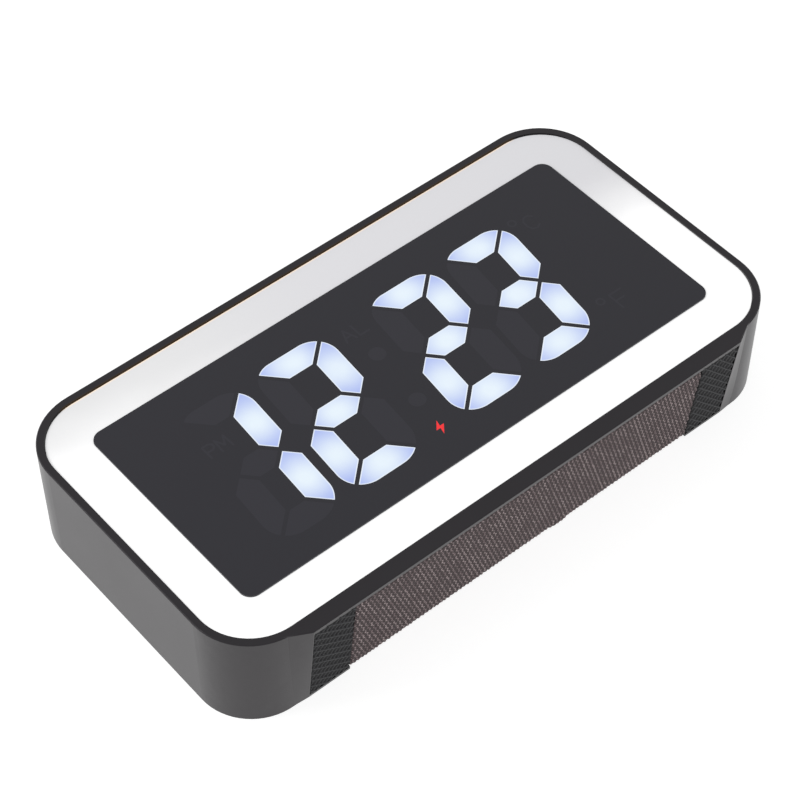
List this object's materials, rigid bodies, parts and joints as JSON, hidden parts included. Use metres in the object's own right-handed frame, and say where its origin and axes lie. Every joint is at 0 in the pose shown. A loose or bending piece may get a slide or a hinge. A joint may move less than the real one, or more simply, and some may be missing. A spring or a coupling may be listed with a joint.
{
  "type": "clock radio",
  "caption": "Flat table clock radio with a segment display in a rounded light ring, a fabric-backed wedge foot with rubber pads, keys on top and sockets at one end.",
  "frame": {"origin": "on the case's back plane, under the middle of the case's box", "axes": "+X to the display's right, +Y to the display's top, away from the foot, +Z out of the display; the clock lies on its back"},
  "size_m": [0.1802, 0.0966, 0.0315],
  "materials": {
    "case": "satin moulded charcoal plastic",
    "ring": "milky light diffuser",
    "window": "smoked satin acrylic",
    "lit": "lit cool white",
    "unlit": "unlit smoked",
    "sign": "lit red",
    "black_plastic": "matt moulded",
    "white_plastic": "white reflector moulding",
    "led": "yellow phosphor in white package",
    "board": "green solder mask",
    "chip": "black epoxy",
    "steel": "pressed sheet steel",
    "magnet": "ferrite and black plated steel",
    "cone": "black pulp cone",
    "surround": "soft rubber roll",
    "foam": "closed cell foam",
    "capacitor": "sleeved can",
    "ribbon": "flat flexible cable",
    "wire": "insulated wire",
    "pouch": "foil laminate",
    "screw": "black zinc plated",
    "key": "matt soft-touch",
    "rubber": "knurled rubber",
    "fabric": "brown-grey woven speaker cloth"
  },
  "bodies": {
    "clock": {"housing_shell": "case", "light_ring": "ring", "display_window": "window", "lit_segments": "lit", "unlit_segments": "unlit", "colon_dots": "unlit", "indicator_marks": "unlit", "charge_sign": "sign", "reflector_block": "black_plastic", "segment_leds": "led", "display_board": "board", "display_chips": "chip", "ring_light_tray": "white_plastic", "ring_leds": "led", "ring_led_board": "board", "chassis": "black_plastic", "rear_cover": "black_plastic", "rear_fabric": "fabric", "foot_pad_left": "rubber", "foot_pad_right": "rubber", "main_board": "board", "main_chips": "chip", "radio_module": "steel", "tuner_crystal": "steel", "capacitors": "capacitor", "wire_plugs": "white_plastic", "usb_port": "steel", "audio_jack": "black_plastic", "card_slot": "steel", "power_switch": "steel", "display_ribbon": "ribbon", "key_board": "board", "key_switches": "steel", "key_wires": "wire", "battery": "pouch", "battery_tape": "foam", "battery_wires": "wire", "speaker_wires_left": "wire", "speaker_wires_right": "wire", "antenna_wire": "wire", "case_screws": "screw", "board_screws": "screw", "speaker_frame_left": "steel", "speaker_magnet_left": "magnet", "speaker_surround_left": "surround", "speaker_gasket_left": "foam", "speaker_frame_right": "steel", "speaker_magnet_right": "magnet", "speaker_surround_right": "surround", "speaker_gasket_right": "foam"},
    "key_1": {"key_1": "key"},
    "key_2": {"key_2": "key"},
    "key_3": {"key_3": "key"},
    "key_4": {"key_4": "key"},
    "key_5": {"key_5": "key"},
    "power_switch": {"power_switch_knob": "key"},
    "cone_left": {"speaker_cone_left": "cone"},
    "cone_right": {"speaker_cone_right": "cone"}
  },
  "joints": [
    {"name": "key_1_press", "type": "slide", "parent": "clock", "child": "key_1", "axis": [0, -1, 0], "range_m": [0, 0.0005], "stiffness_N_per_m": 400, "springref_m": -0.0005},
    {"name": "key_2_press", "type": "slide", "parent": "clock", "child": "key_2", "axis": [0, -1, 0], "range_m": [0, 0.0005], "stiffness_N_per_m": 400, "springref_m": -0.0005},
    {"name": "key_3_press", "type": "slide", "parent": "clock", "child": "key_3", "axis": [0, -1, 0], "range_m": [0, 0.0005], "stiffness_N_per_m": 400, "springref_m": -0.0005},
    {"name": "key_4_press", "type": "slide", "parent": "clock", "child": "key_4", "axis": [0, -1, 0], "range_m": [0, 0.0005], "stiffness_N_per_m": 400, "springref_m": -0.0005},
    {"name": "key_5_press", "type": "slide", "parent": "clock", "child": "key_5", "axis": [0, -1, 0], "range_m": [0, 0.0005], "stiffness_N_per_m": 400, "springref_m": -0.0005},
    {"name": "power_switch_slide", "type": "slide", "parent": "clock", "child": "power_switch", "axis": [0, 1, 0], "range_m": [0, 0.002]},
    {"name": "speaker_left_stroke", "type": "slide", "parent": "clock", "child": "cone_left", "axis": [0, 0, -1], "range_m": [-0.0008, 0.0008], "stiffness_N_per_m": 900, "deforming": ["speaker_surround_left"]},
    {"name": "speaker_right_stroke", "type": "slide", "parent": "clock", "child": "cone_right", "axis": [0, 0, -1], "range_m": [-0.0008, 0.0008], "stiffness_N_per_m": 900, "deforming": ["speaker_surround_right"]}
  ]
}
